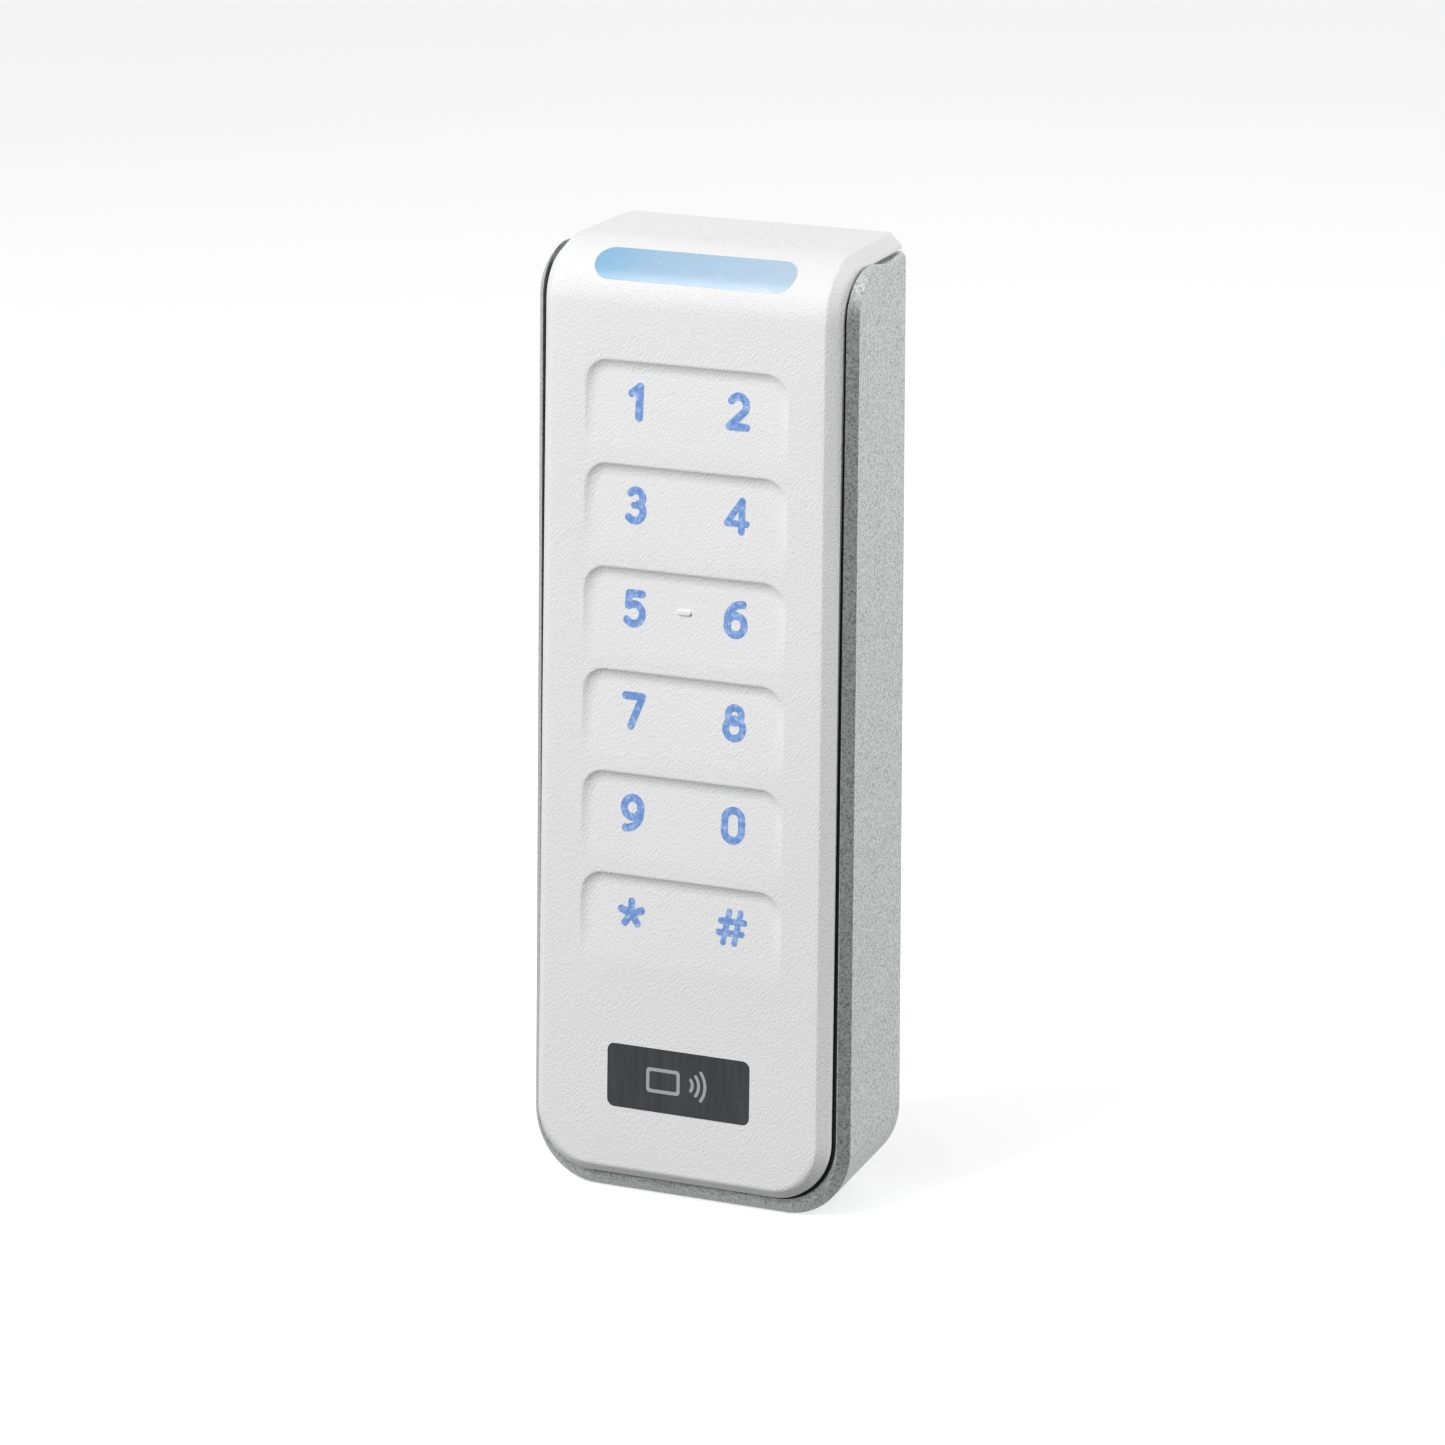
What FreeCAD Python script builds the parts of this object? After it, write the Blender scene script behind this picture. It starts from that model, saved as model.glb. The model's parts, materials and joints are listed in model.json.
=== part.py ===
import FreeCAD, Part
import math
import os

# Keypad card reader on a wall plate. Millimetres, +Z up, front towards -Y, wall plane at Y = 0.
# The origin is midway between the two wall screws, on the wall plane.

V = FreeCAD.Vector

# ---- driving dimensions ----
WIDTH = 45.0
HEIGHT = 121.5
DEPTH = 21.5

HALF = HEIGHT / 2
FACE_SLOPE = 0.022
FACE_TOP_Y = DEPTH - FACE_SLOPE * (HEIGHT - 4.0)
RIM_SLOPE = 0.0143
RIM_TOP_Y = 17.5
REAR_Y = -0.5
FACE_OUT = V(0, -1, FACE_SLOPE)

COVER_HALF = 20.79
COVER_HALF_REAR = 19.95
COVER_BOTTOM = -HALF + 2.6
COVER_CORNER = 7.7
COVER_ROLL = 8.2
COVER_CHAMFER = 1.5
COVER_WALL = 2.0
TOP_SLOPE = math.tan(math.radians(5.5))
TOP_WALL_Z = HALF + 0.2
LIP_FIT = 0.35
LIP_REAR_Y = -0.75
STEP_Y = -15.2
SKIRT_HALF = 20.0
SKIRT_REAR_Y = -10.0
SKIRT_WALL = 1.4
SEAL_FIT = 0.03
SEAL_DEPTH = 0.3

TUB_HALF_FRONT = WIDTH / 2 + 0.12
TUB_HALF_REAR = 20.35
TUB_CORNER = 9.0
TUB_RIM_BEVEL = 1.34
TUB_ROLL = 7.25
TUB_ROLL_TOP = HALF - 1.45
TUB_TOP = HALF - 2.2
TUB_BOTTOM_RISE = 2.15
SHADOW_GAP = 0.45

PLATE_T = 2.0
PLATE_HALF = 17.3
PLATE_TOP = 55.0
PLATE_BOTTOM = -56.0
PLATE_GAP = 0.4
BACK_WALL = 2.0
BACK_OUT_Y = -(PLATE_T + PLATE_GAP)
BACK_IN_Y = BACK_OUT_Y - BACK_WALL

PIVOT_Y = -1.9
PIVOT_Z = 56.8
BEAD_R = 0.8
SOCKET_R = 0.87
HOOK_X = 12.0
HOOK_HALF = 3.0
HOOK_ROOM = 0.4

WALL_SCREW_SPACING = 83.3
WALL_SCREW_R = 1.9
WALL_HEAD_POCKET_R = 4.3
WALL_HEAD_POCKET_DEPTH = 2.8

BOARD_FRONT_Y = -13.0
BOARD_T = 1.6
BOARD_BACK_Y = BOARD_FRONT_Y + BOARD_T
BOARD_HALF = 17.6
BOARD_TOP = 52.0
BOARD_BOTTOM = -46.0
POST_X = 14.8
POST_Z = (-40.0, 0.0, 44.0)
POST_R = 2.0
BOARD_HOLE_R = 1.2
GUIDE_REAR = 3.2
SENSOR_REAR = 4.0

ROWS = 6
ROW_PITCH = 12.91
TOP_ROW_Z = 40.25
COLUMN_X = 7.14
POCKET_HALF = 14.25
POCKET_ABOVE = 5.1
POCKET_BELOW = 6.2
POCKET_DEPTH = 0.7
POCKET_CORNER = 3.0
GLYPH_HALF_H = 1.86
GLYPH_HALF_W = 1.2
STROKE = 0.98
LEGEND_BEHIND_FACE = 1.2

BADGE_HALF_W = 10.15
BADGE_Z = -45.1
BADGE_H = 8.2
BADGE_CORNER = 1.0
BADGE_SEAT = 0.9
BADGE_INSET = 0.12

BAR_HALF = 14.0
BAR_LOW_DEG = 24.8
BAR_HIGH_DEG = 58.2
BAR_SEAT = 1.2

PLUG_WAYS = 5
PLUG_PITCH = 3.5
PLUG_HALF = 9.2
PLUG_H = 6.4
HEADER_WALL = 0.9
PLUG_FIT = 0.3
PLUG_Z = (-5.0, -16.0)
OPENING_HALF = 15.0
OPENING_TOP = 4.5
OPENING_BOTTOM = -36.0

SCREW_Y = -5.6
SCREW_R = 1.45
SCREW_HEAD_R = 2.7
SCREW_HEAD_H = 2.0
SCREW_TIP_Z = -55.6
TAB_TOP_Z = -52.2
TAB_T = 2.8
TAB_HALF = 5.0
TAB_REACH = 8.0

os.makedirs("parts", exist_ok=True)


# ---- helpers ----
def save(node, shape):
    shape = shape.removeSplitter()
    shape.exportStep("parts/" + node + ".step")
    print(node, shape.isValid(), len(shape.Solids), round(shape.Volume, 2))


def block(x0, x1, y0, y1, z0, z1):
    low = V(min(x0, x1), min(y0, y1), min(z0, z1))
    return Part.makeBox(abs(x1 - x0), abs(y1 - y0), abs(z1 - z0), low)


def rod(radius, start, direction, length):
    return Part.makeCylinder(radius, length, start, direction)


def join(shapes):
    result = shapes[0]
    for shape in shapes[1:]:
        result = result.fuse(shape)
    return result


def parallel_edges(shape, axis, test):
    # Straight edges that run mainly along one axis and whose midpoint passes a test.
    found = []
    for edge in shape.Edges:
        if edge.Curve.TypeId != "Part::GeomLine":
            continue
        run = edge.tangentAt(edge.FirstParameter)
        if abs(run.dot(axis)) > 0.97 and test(edge.CenterOfMass):
            found.append(edge)
    return found


def rounded_block(x0, x1, y0, y1, z0, z1, radius, axis):
    solid = block(x0, x1, y0, y1, z0, z1)
    edges = parallel_edges(solid, axis, lambda p: True)
    return solid.makeFillet(radius, edges)


def half_space(point, normal):
    # A large block that starts at a point and lies on the side that the normal points to.
    size = 400.0
    solid = Part.makeBox(size, size, size, V(-size / 2, -size / 2, 0))
    solid.Placement = FreeCAD.Placement(point, FreeCAD.Rotation(V(0, 0, 1), normal))
    return solid


def face_y(z):
    return -(FACE_TOP_Y + FACE_SLOPE * (HALF - z))


def rim_y(z):
    return -(RIM_TOP_Y + RIM_SLOPE * (HALF - z))


def top_z(y):
    return TOP_WALL_Z + TOP_SLOPE * y


def meet(slope_y, offset_y, slope_z, offset_z):
    # Point where y = offset_y + slope_y * z meets z = offset_z + slope_z * y.
    y = (offset_y + slope_y * offset_z) / (1 - slope_y * slope_z)
    return V(0, y, offset_z + slope_z * y)


def side_profile(points, half_width):
    wire = Part.makePolygon(points + [points[0]])
    solid = Part.Face(wire).extrude(V(2 * half_width, 0, 0))
    solid.translate(V(-half_width, 0, 0))
    return solid


def taper_sides(solid, front_half, front_y, rear_half):
    lean = math.atan2(front_half - rear_half, -front_y)
    for side in (-1, 1):
        normal = V(side * math.cos(lean), math.sin(lean), 0)
        solid = solid.cut(half_space(V(side * rear_half, 0, 0), normal))
    return solid


def front_rim_edges(shape, front, roll_radius, top_limit):
    # The edge chain round the front face, over the roll and back along the top.
    found = []
    for edge in shape.Edges:
        middle = edge.valueAt((edge.FirstParameter + edge.LastParameter) / 2)
        ends = [v.Point for v in edge.Vertexes]
        if len(ends) < 2:
            continue
        across = abs(ends[0].x) > 5 and abs(ends[1].x) > 5 and ends[0].x * ends[1].x < 0
        on_front = abs(middle.y - front(middle.z)) < 0.02 and abs(ends[0].y - front(ends[0].z)) < 0.02
        on_front = on_front and abs(ends[1].y - front(ends[1].z)) < 0.02
        over = middle.z > HALF - roll_radius - 4 and abs(middle.x) > 15
        over = over and not across and max(ends[0].z, ends[1].z) > top_limit
        if on_front and not (across and middle.z > 0):
            found.append(edge)
        elif over and abs(ends[0].y - ends[1].y) > 1.0:
            found.append(edge)
    return found


def front_prism(half_width, z0, z1, radius, y0, y1):
    # A block through the front with its two bottom corners rounded, in front view.
    solid = block(-half_width, half_width, y0, y1, z0, z1)
    edges = parallel_edges(solid, V(0, 1, 0), lambda p: p.z < z0 + 0.1)
    return solid.makeFillet(radius, edges)


# ---- outer shells ----
def cover_blank():
    corner = meet(FACE_SLOPE, face_y(0), TOP_SLOPE, TOP_WALL_Z)
    points = [
        V(0, LIP_REAR_Y, top_z(LIP_REAR_Y)),
        corner,
        V(0, face_y(COVER_BOTTOM), COVER_BOTTOM),
        V(0, LIP_REAR_Y, COVER_BOTTOM),
    ]
    solid = side_profile(points, COVER_HALF + 4)
    solid = taper_sides(solid, COVER_HALF, face_y(0) + COVER_CHAMFER, COVER_HALF_REAR)
    roll = parallel_edges(solid, V(1, 0, 0), lambda p: p.z > 40 and p.y < -10)
    solid = solid.makeFillet(COVER_ROLL, roll)
    corners = parallel_edges(solid, V(0, 1, 0), lambda p: p.z < COVER_BOTTOM + 1)
    solid = solid.makeFillet(COVER_CORNER, corners)
    return solid.makeChamfer(COVER_CHAMFER, front_rim_edges(solid, face_y, COVER_ROLL, HALF - 3))


def tub_blank():
    corner = meet(RIM_SLOPE, rim_y(0), 0, TUB_ROLL_TOP)
    points = [
        V(0, REAR_Y, TUB_ROLL_TOP),
        corner,
        V(0, rim_y(-HALF), -HALF),
        V(0, REAR_Y, -HALF + TUB_BOTTOM_RISE),
    ]
    solid = side_profile(points, TUB_HALF_FRONT + 4)
    solid = taper_sides(solid, TUB_HALF_FRONT, rim_y(0), TUB_HALF_REAR)
    roll = parallel_edges(solid, V(1, 0, 0), lambda p: p.z > 40 and p.y < -10)
    solid = solid.makeFillet(TUB_ROLL, roll)
    corners = parallel_edges(solid, V(0, 1, 0), lambda p: p.z < -HALF + 5)
    solid = solid.makeFillet(TUB_CORNER, corners)
    solid = solid.makeChamfer(TUB_RIM_BEVEL, front_rim_edges(solid, rim_y, TUB_ROLL, TUB_ROLL_TOP - 1))
    return solid.cut(half_space(V(0, 0, TUB_TOP), V(0, 0, 1)))


def inner_space(depth):
    # Everything deeper than a layer of this thickness under the face, the roll and the top.
    corner = meet(FACE_SLOPE, face_y(0) + depth, TOP_SLOPE, TOP_WALL_Z - depth)
    points = [
        V(0, 5, TOP_WALL_Z - depth + 5 * TOP_SLOPE),
        corner,
        V(0, face_y(-HALF - 5) + depth, -HALF - 5),
        V(0, 5, -HALF - 5),
    ]
    solid = side_profile(points, 40)
    roll = parallel_edges(solid, V(1, 0, 0), lambda p: p.z > 40 and p.y < -10)
    return solid.makeFillet(COVER_ROLL - depth, roll)


def front_cover():
    # A layer under the whole outer surface, with a narrower skirt behind it.
    blank = cover_blank()
    layer_part = blank.cut(inner_space(COVER_WALL))
    skirt_bottom = COVER_BOTTOM + (COVER_HALF - SKIRT_HALF)
    skirt = front_prism(SKIRT_HALF, skirt_bottom, HALF + 5, COVER_CORNER - 0.8, -40, SKIRT_REAR_Y)
    inner_half = SKIRT_HALF - SKIRT_WALL
    hollow = front_prism(inner_half, skirt_bottom + SKIRT_WALL, HALF + 5, COVER_CORNER - 2.2, -40, 5)
    return layer_part.fuse(skirt.common(blank).cut(hollow))


def edge_seal():
    # The black seal at the bottom of the shadow gap, between the cover's skirt and the housing.
    half = COVER_HALF + SHADOW_GAP - SEAL_FIT
    bottom = COVER_BOTTOM - SHADOW_GAP + SEAL_FIT
    outer = front_prism(half, bottom, HALF, COVER_CORNER + 0.4, -40, STEP_Y + 0.3)
    skirt_bottom = COVER_BOTTOM + (COVER_HALF - SKIRT_HALF)
    inner = front_prism(SKIRT_HALF + SEAL_FIT, skirt_bottom - SEAL_FIT, HALF + 5, COVER_CORNER - 0.8, -41, 5)
    return outer.cut(inner).common(inner_space(COVER_WALL + SEAL_DEPTH))


def row_z(row):
    return TOP_ROW_Z - ROW_PITCH * row


def pocket_cutter(row):
    # A scoop that is deepest along its top edge and runs out to nothing at the bottom.
    top = row_z(row) + POCKET_ABOVE
    bottom = row_z(row) - POCKET_BELOW
    points = [
        V(0, face_y(top) - 2, top),
        V(0, face_y(top) + POCKET_DEPTH, top),
        V(0, face_y(bottom), bottom),
        V(0, face_y(bottom) - 2, bottom),
    ]
    solid = side_profile(points, POCKET_HALF)
    corners = parallel_edges(solid, V(0, 1, 0), lambda p: p.z > top - 0.1)
    return solid.makeFillet(POCKET_CORNER, corners)


def dash_bump():
    # The raised locating dash between the third row's two keys.
    z = row_z(2) + 0.15
    y = face_y(z) + POCKET_DEPTH * (z - row_z(2) + POCKET_BELOW) / (POCKET_ABOVE + POCKET_BELOW)
    return rounded_block(-1.05, 1.05, y - 0.35, y + 0.5, z - 0.38, z + 0.38, 0.3, V(0, 1, 0))


# ---- key legends: rounded strokes drawn from lines and arcs ----
def line_stroke(x0, z0, x1, z1, width):
    return ("line", x0, z0, x1, z1, width)


def arc_stroke(cx, cz, radius, from_deg, to_deg, width):
    return ("arc", cx, cz, radius, from_deg, to_deg, width)


def glyph_strokes(name):
    w = GLYPH_HALF_W
    h = GLYPH_HALF_H
    s = STROKE
    six = [
        arc_stroke(0, -0.68, w, 0, 360, s),
        arc_stroke(0.8, -0.06, 1.98, 86, 198, s),
    ]
    shapes = {
        "1": [line_stroke(0.42, h, 0.42, -h, 1.1), line_stroke(0.42, h, -0.72, 1.02, s)],
        "2": [
            arc_stroke(-0.05, 0.74, 1.13, -34, 150, s),
            line_stroke(0.89, 0.11, -w, -h, s),
            line_stroke(-w, -h, w, -h, s),
        ],
        "3": [
            arc_stroke(0.0, 0.9, 0.98, -62, 140, s),
            line_stroke(-0.25, 0.02, 0.45, 0.02, 0.8),
            arc_stroke(-0.06, -0.74, 1.14, -140, 62, s),
        ],
        "4": [
            line_stroke(0.58, h, -1.36, -0.9, 0.82),
            line_stroke(-1.36, -0.9, 1.36, -0.9, 0.86),
            line_stroke(0.66, h, 0.66, -h, 0.92),
        ],
        "5": [
            line_stroke(-0.8, h, 1.02, h, s),
            line_stroke(-0.8, h, -0.9, 0.35, s),
            arc_stroke(-0.08, -0.66, 1.22, -142, 118, s),
        ],
        "6": six,
        "7": [line_stroke(-w, h, w, h, s), line_stroke(w, h, -0.28, -h, s)],
        "8": [arc_stroke(0, 0.97, 0.92, 0, 360, 0.92), arc_stroke(0, -0.72, w, 0, 360, 0.94)],
        "9": [(k[0], -k[1], -k[2], k[3], k[4] + 180, k[5] + 180, k[6]) for k in six],
        "0": [
            arc_stroke(0, h - w, w, 0, 180, s),
            arc_stroke(0, w - h, w, 180, 360, s),
            line_stroke(-w, h - w, -w, w - h, s),
            line_stroke(w, h - w, w, w - h, s),
        ],
        "star": [],
        "hash": [],
    }
    arm = 1.5
    for turn in range(5):
        angle = math.radians(90 + 72 * turn)
        shapes["star"].append(line_stroke(0, 0, arm * math.cos(angle), arm * math.sin(angle), s))
    thin = 0.8
    for side in (-1, 1):
        shapes["hash"].append(line_stroke(0.8 * side - 0.36, -1.95, 0.8 * side + 0.36, 1.95, thin))
        lean = 0.14 * side
        shapes["hash"].append(line_stroke(-1.7 + lean, 0.74 * side, 1.6 + lean, 0.74 * side, thin))
    return shapes[name]


def stroke_solid(stroke, x, z, y0, depth):
    along = V(0, 1, 0)
    if stroke[0] == "line":
        x0, z0, x1, z1, width = stroke[1:]
        start = V(x + x0, y0, z + z0)
        end = V(x + x1, y0, z + z1)
        run = end - start
        bar = Part.makeBox(run.Length, depth, width, V(0, 0, -width / 2))
        turn = FreeCAD.Rotation(V(0, 1, 0), -math.degrees(math.atan2(run.z, run.x)))
        bar.Placement = FreeCAD.Placement(start, turn).multiply(bar.Placement)
        ends = [rod(width / 2, start, along, depth), rod(width / 2, end, along, depth)]
        return join([bar] + ends)
    cx, cz, radius, from_deg, to_deg, width = stroke[1:]
    centre = V(x + cx, y0, z + cz)
    outer = rod(radius + width / 2, centre, along, depth)
    ring = outer.cut(rod(radius - width / 2, centre, along, depth))
    sweep = to_deg - from_deg
    if sweep >= 360:
        return ring
    reach = 3 * radius
    points = [centre]
    steps = 6
    for step in range(steps + 1):
        angle = math.radians(from_deg + sweep * step / steps)
        points.append(centre + V(reach * math.cos(angle), 0, reach * math.sin(angle)))
    sector = Part.Face(Part.makePolygon(points + [centre])).extrude(V(0, depth, 0))
    ends = []
    for angle_deg in (from_deg, to_deg):
        angle = math.radians(angle_deg)
        tip = centre + V(radius * math.cos(angle), 0, radius * math.sin(angle))
        ends.append(rod(width / 2, tip, along, depth))
    return join([ring.common(sector)] + ends)


KEYS = (("1", "2"), ("3", "4"), ("5", "6"), ("7", "8"), ("9", "0"), ("star", "hash"))


def legend_prism(name, row, column):
    x = COLUMN_X * (2 * column - 1)
    z = row_z(row)
    if name == "star":
        z = z + 0.1
    rear = face_y(z) + LEGEND_BEHIND_FACE
    strokes = [stroke_solid(s, x, z, rear - 4, 4) for s in glyph_strokes(name)]
    return join(strokes).removeSplitter()


def badge_prism(grow, y0, y1):
    half_w = BADGE_HALF_W + grow
    half_h = BADGE_H / 2 + grow
    radius = BADGE_CORNER + grow
    return rounded_block(-half_w, half_w, y0, y1, BADGE_Z - half_h, BADGE_Z + half_h, radius, V(0, 1, 0))


def face_slab(depth_front, depth_rear):
    # The layer between two depths behind the sloping front face.
    slab = block(-60, 60, -40, 5, -80, 80)
    slab = slab.cut(half_space(V(0, face_y(0) + depth_front, 0), FACE_OUT))
    return slab.cut(half_space(V(0, face_y(0) + depth_rear, 0), FACE_OUT * -1))


def roll_centre():
    corner = meet(FACE_SLOPE, face_y(0), TOP_SLOPE, TOP_WALL_Z)
    face_angle = math.atan(FACE_SLOPE)
    top_angle = math.atan(TOP_SLOPE)
    half_open = (math.pi / 2 + face_angle + top_angle) / 2
    reach = COVER_ROLL / math.sin(half_open)
    aim = half_open - math.pi / 2 - face_angle
    return V(0, corner.y + reach * math.cos(aim), corner.z + reach * math.sin(aim))


def bar_prism(grow):
    # A rounded slot that looks square onto the roll, halfway round it.
    middle = math.radians((BAR_LOW_DEG + BAR_HIGH_DEG) / 2)
    half_h = COVER_ROLL * math.sin(math.radians((BAR_HIGH_DEG - BAR_LOW_DEG) / 2)) + grow
    half_w = BAR_HALF + grow
    front = -COVER_ROLL - 3
    solid = rounded_block(-half_w, half_w, front, -2.5, -half_h, half_h, half_h - 0.01, V(0, 1, 0))
    place = FreeCAD.Rotation(V(1, 0, 0), -math.degrees(middle))
    solid.Placement = FreeCAD.Placement(roll_centre(), place)
    return solid


def roll_shell(inner_radius, outer_radius):
    start = roll_centre() + V(-40, 0, 0)
    shell = rod(outer_radius, start, V(1, 0, 0), 80)
    return shell.cut(rod(inner_radius, start, V(1, 0, 0), 80))


def cover_family():
    # The cover with what is set flush into it.
    solid = front_cover()
    for row in range(ROWS):
        solid = solid.cut(pocket_cutter(row))
    solid = solid.fuse(dash_bump())
    legends = {}
    for row in range(ROWS):
        for column in range(2):
            name = KEYS[row][column]
            prism = legend_prism(name, row, column)
            legends["key_" + name] = prism.common(solid)
            solid = solid.cut(prism)
    badge_seat = badge_prism(0.0, -30, 0).common(face_slab(-2, BADGE_SEAT))
    solid = solid.cut(badge_seat)
    blank = cover_blank()
    bar_hole = bar_prism(0.0).common(roll_shell(COVER_ROLL - BAR_SEAT, COVER_ROLL + 4))
    lens = bar_hole.common(blank)
    window = bar_prism(-0.8).common(roll_shell(COVER_ROLL - 4, COVER_ROLL + 1))
    solid = solid.cut(bar_hole).cut(window)
    pipe_depth = roll_shell(COVER_ROLL - 4.2, COVER_ROLL - BAR_SEAT)
    pipe = bar_prism(-0.95).common(pipe_depth)
    badge = badge_prism(-0.05, -30, 0).common(face_slab(BADGE_INSET, BADGE_SEAT))
    icon = badge_icon()
    badge = badge.cut(icon)
    save("front_cover", solid)
    for name, legend in legends.items():
        save(name, legend)
    save("light_bar_lens", lens)
    save("light_pipe", pipe)
    save("badge_plate", badge)
    save("badge_icon", icon)


def badge_icon():
    # A plain card outline with three radio arcs beside it.
    front = face_y(BADGE_Z) + BADGE_INSET
    y0 = front - 0.4
    depth = 0.7
    card = rounded_block(-4.6, 0.2, y0, y0 + depth, BADGE_Z - 1.6, BADGE_Z + 1.6, 0.5, V(0, 1, 0))
    hollow = rounded_block(-4.15, -0.25, y0, y0 + depth, BADGE_Z - 1.15, BADGE_Z + 1.15, 0.3, V(0, 1, 0))
    marks = [card.cut(hollow)]
    for radius in (1.1, 2.0, 2.9):
        wave = arc_stroke(0.9, 0, radius, -38, 38, 0.42)
        marks.append(stroke_solid(wave, 0, BADGE_Z, y0, depth))
    keep = face_slab(BADGE_INSET, BADGE_SEAT)
    return Part.makeCompound([mark.common(keep) for mark in marks])


def cable_opening(corner):
    # Through the plate and the housing's back wall, behind the terminal plugs.
    half = OPENING_HALF
    return rounded_block(-half, half, BACK_IN_Y - 1, 1, OPENING_BOTTOM, OPENING_TOP, corner, V(0, 1, 0))


def rear_housing():
    solid = tub_blank()
    half_a = COVER_HALF + SHADOW_GAP
    bottom_a = COVER_BOTTOM - SHADOW_GAP
    half_b = SKIRT_HALF + 0.3
    bottom_b = COVER_BOTTOM + (COVER_HALF - SKIRT_HALF) - 0.3
    high = HALF + 20
    step = STEP_Y + 0.3
    shelf = SKIRT_REAR_Y + 0.8
    solid = solid.cut(front_prism(half_a, bottom_a, high, COVER_CORNER + SHADOW_GAP, -60, step))
    solid = solid.cut(front_prism(half_b, bottom_b, high, COVER_CORNER - 0.5, -60, shelf))
    core = rounded_block(-18.4, 18.4, -60, BACK_IN_Y, -53.6, 53.4, 5.0, V(0, 1, 0))
    solid = solid.cut(core)
    cover_path = block(-half_a, half_a, -60, 5, 40, high)
    solid = solid.cut(cover_path.cut(inner_space(COVER_WALL + LIP_FIT)))
    recess = front_prism(18.3, -57.0, PLATE_TOP + 0.6, 7.0, BACK_OUT_Y, 5)
    solid = solid.cut(recess)
    solid = solid.cut(cable_opening(1.5))
    for side in (-1, 1):
        cup = rod(WALL_HEAD_POCKET_R + 1.2, V(0, BACK_OUT_Y, side * WALL_SCREW_SPACING / 2), V(0, -1, 0), 4.0)
        solid = solid.fuse(cup)
    pocket_reach = PLATE_T + PLATE_GAP + WALL_HEAD_POCKET_DEPTH
    for side in (-1, 1):
        start = V(0, 0, side * WALL_SCREW_SPACING / 2)
        solid = solid.cut(rod(WALL_HEAD_POCKET_R, start, V(0, -1, 0), pocket_reach))
    for side in (-1, 1):
        x0 = side * HOOK_X - HOOK_HALF - HOOK_ROOM
        x1 = side * HOOK_X + HOOK_HALF + HOOK_ROOM
        solid = solid.cut(block(x0, x1, -3.3, 5, PLATE_TOP - 2.5, PIVOT_Z - 0.5))
        solid = solid.cut(rod(SOCKET_R, V(x0, PIVOT_Y, PIVOT_Z), V(1, 0, 0), x1 - x0))
    for x, z in post_places(POST_Z):
        solid = solid.fuse(rod(POST_R, V(x, BACK_IN_Y, z), V(0, -1, 0), BACK_IN_Y - BOARD_BACK_Y))
    return add_screw_room(solid)


def add_screw_room(solid):
    # The bottom pocket for the plate's threaded tab and the counterbored screw hole.
    pocket = block(-TAB_HALF - 0.8, TAB_HALF + 0.8, -TAB_REACH - 0.4, 5, TAB_TOP_Z + 1.0, SCREW_TIP_Z + 0.3)
    shroud = block(-TAB_HALF - 2.2, TAB_HALF + 2.2, SKIRT_REAR_Y + 0.8, BACK_IN_Y, TAB_TOP_Z + 2.4, -57.0)
    solid = solid.fuse(shroud.cut(pocket))
    solid = solid.cut(pocket)
    solid = solid.cut(rod(SCREW_R + 0.3, V(0, SCREW_Y, TAB_TOP_Z - 1), V(0, 0, -1), 20))
    head = rod(SCREW_HEAD_R + 0.3, V(0, SCREW_Y, -57.6), V(0, 0, -1), 10)
    return solid.cut(head)


def security_screw():
    # A pin-in-hex screw: its shank reaches up towards the plate's tab.
    axis = V(0, 0, 1)
    shank = rod(SCREW_R, V(0, SCREW_Y, -57.7), axis, SCREW_TIP_Z - 0.1 + 57.7)
    head = rod(SCREW_HEAD_R, V(0, SCREW_Y, -57.7 - SCREW_HEAD_H), axis, SCREW_HEAD_H)
    socket = Part.Face(hexagon(1.25, -57.7 - SCREW_HEAD_H)).extrude(V(0, 0, 1.2))
    pin = rod(0.45, V(0, SCREW_Y, -57.7 - SCREW_HEAD_H + 0.2), axis, 1.2)
    return head.fuse(shank).cut(socket).fuse(pin)


def hexagon(radius, z):
    points = []
    for turn in range(7):
        angle = math.radians(60 * turn)
        points.append(V(radius * math.cos(angle), SCREW_Y + radius * math.sin(angle), z))
    return Part.makePolygon(points)


def mounting_plate():
    solid = front_prism(PLATE_HALF, PLATE_BOTTOM, PLATE_TOP, 6.0, -PLATE_T, 0)
    solid = solid.cut(cable_opening(2.0))
    for side in (-1, 1):
        solid = solid.cut(rod(WALL_SCREW_R, V(0, 5, side * WALL_SCREW_SPACING / 2), V(0, -1, 0), 10))
        x = side * HOOK_X
        neck = block(x - HOOK_HALF, x + HOOK_HALF, PIVOT_Y - 0.45, PIVOT_Y + 0.45, PLATE_TOP - 1.2, PIVOT_Z)
        bead = rod(BEAD_R, V(x - HOOK_HALF, PIVOT_Y, PIVOT_Z), V(1, 0, 0), 2 * HOOK_HALF)
        solid = solid.fuse(neck).fuse(bead)
    window = rounded_block(-6, 6, -9, 5, 17, 27, 2.0, V(0, 1, 0))
    solid = solid.cut(window)
    tab = block(-TAB_HALF, TAB_HALF, -TAB_REACH, 0, TAB_TOP_Z - TAB_T, TAB_TOP_Z)
    solid = solid.fuse(tab)
    return solid.cut(rod(1.25, V(0, SCREW_Y, TAB_TOP_Z + 1), V(0, 0, -1), TAB_T + 2))


# ---- electronics between the cover and the rear housing ----
def post_places(heights):
    return [(x, z) for x in (-POST_X, POST_X) for z in heights]


def board(half, z0, z1, y0, y1):
    return rounded_block(-half, half, y0, y1, z0, z1, 2.0, V(0, 1, 0))


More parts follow.
